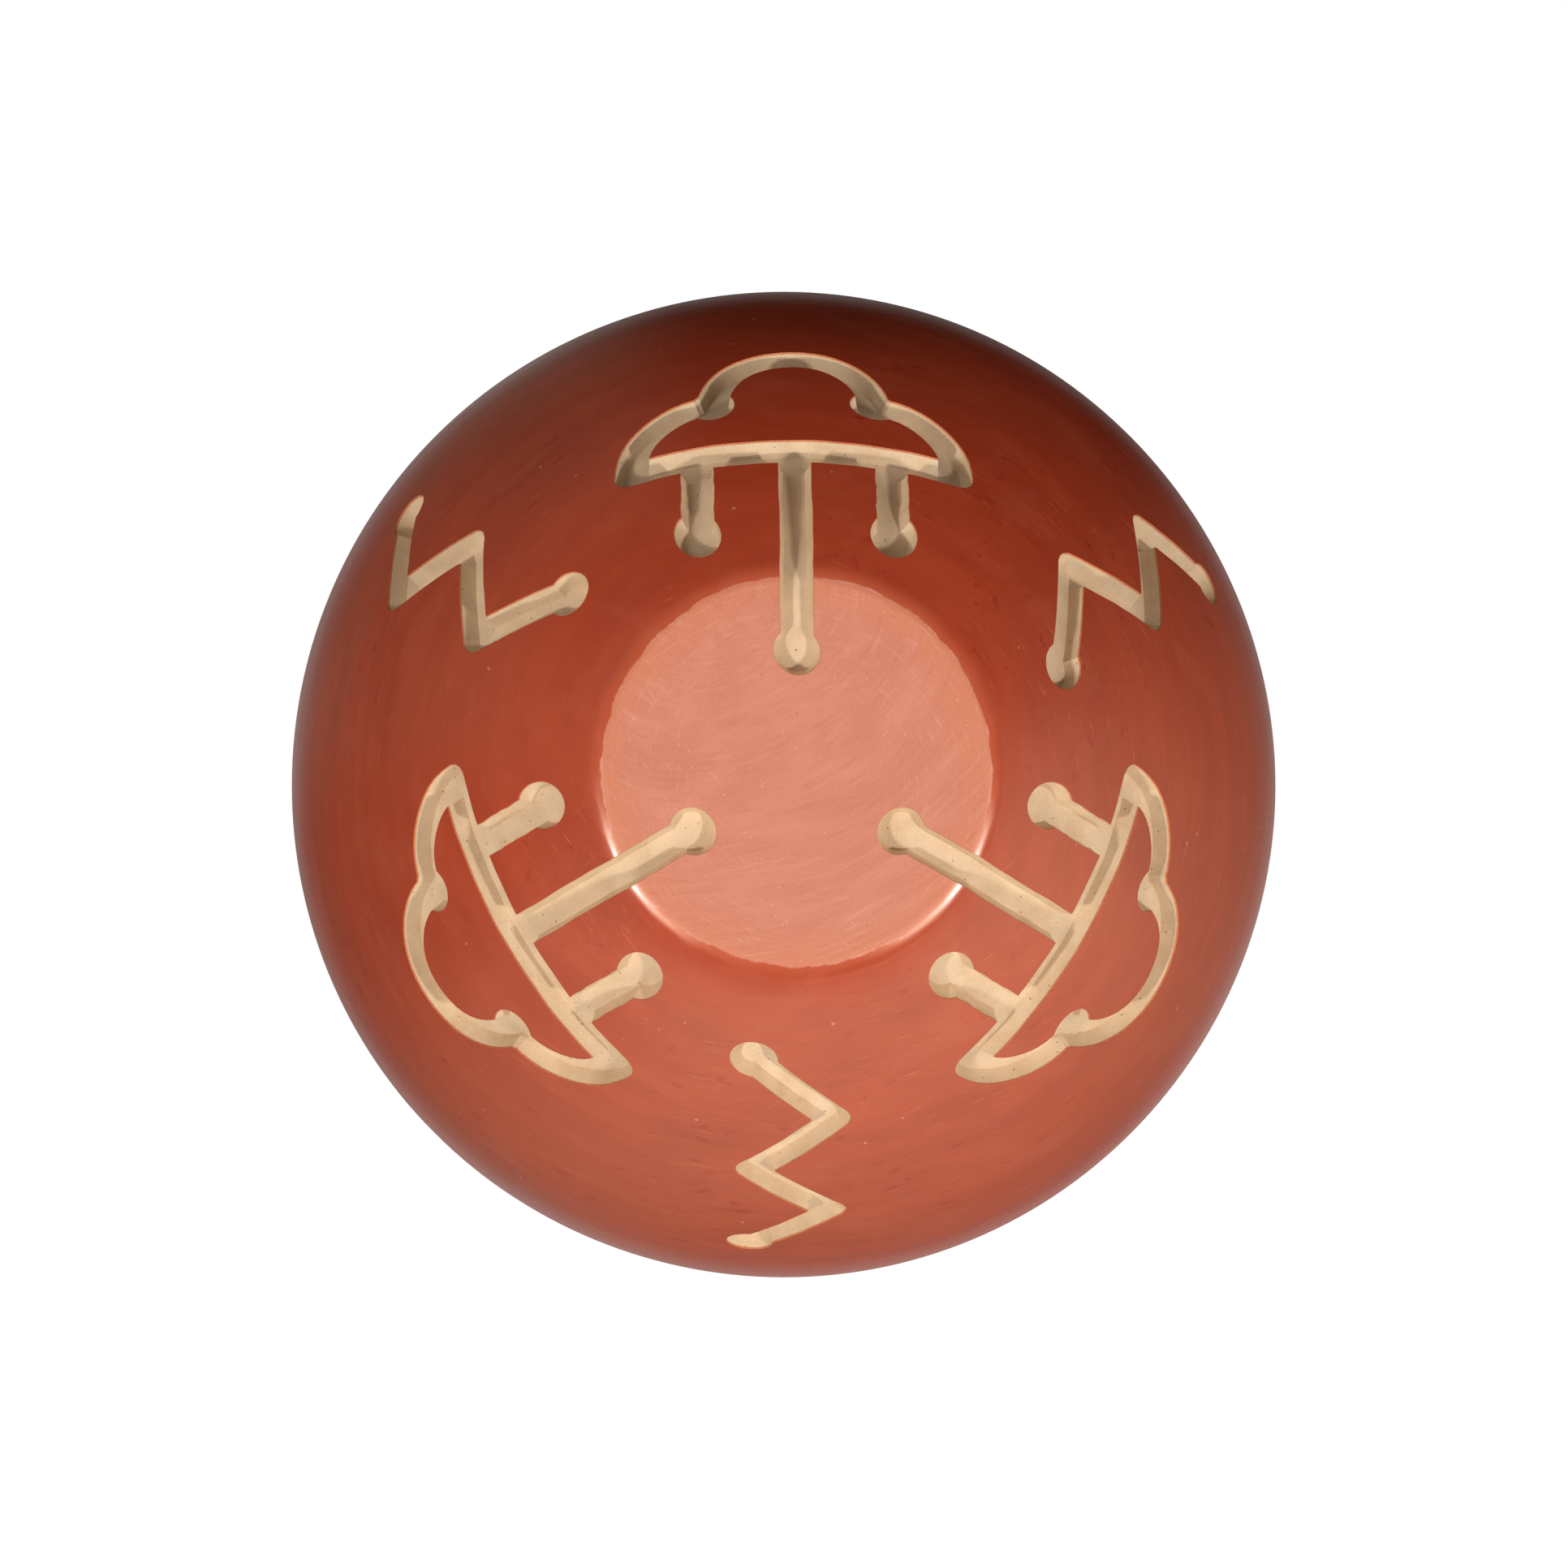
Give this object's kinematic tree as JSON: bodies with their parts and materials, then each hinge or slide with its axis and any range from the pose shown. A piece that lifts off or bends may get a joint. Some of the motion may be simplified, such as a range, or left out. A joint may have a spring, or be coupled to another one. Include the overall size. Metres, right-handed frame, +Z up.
{
  "type": "carved pottery jar",
  "caption": "Round coil-built pottery jar with a short flared neck, a burnished red coat, a matte flat base and carved cloud, rain, lightning and feather motifs; open, to hold light things.",
  "frame": {"origin": "centre of the flat base, on the surface that the jar stands on", "axes": "+Z up along the axis of the jar, out of its mouth; -Y through the middle of one of the carved clouds; +X completes a right-handed frame"},
  "size_m": [0.21, 0.21, 0.1916],
  "materials": {
    "clay": "matte, gritty low-fired clay",
    "red_slip": "stone-burnished slip with a soft gloss",
    "base_slip": "matte unpolished slip"
  },
  "bodies": {
    "root": {"base_slab": "clay", "wall_coil_1": "clay", "wall_coil_2": "clay", "wall_coil_3": "clay", "wall_coil_4": "clay", "wall_coil_5": "clay", "wall_coil_6": "clay", "shoulder_coil_1": "clay", "shoulder_coil_2": "clay", "shoulder_coil_3": "clay", "neck_coil": "clay", "rim_coil": "clay", "red_slip": "red_slip", "base_slip": "base_slip"}
  },
  "joints": []
}
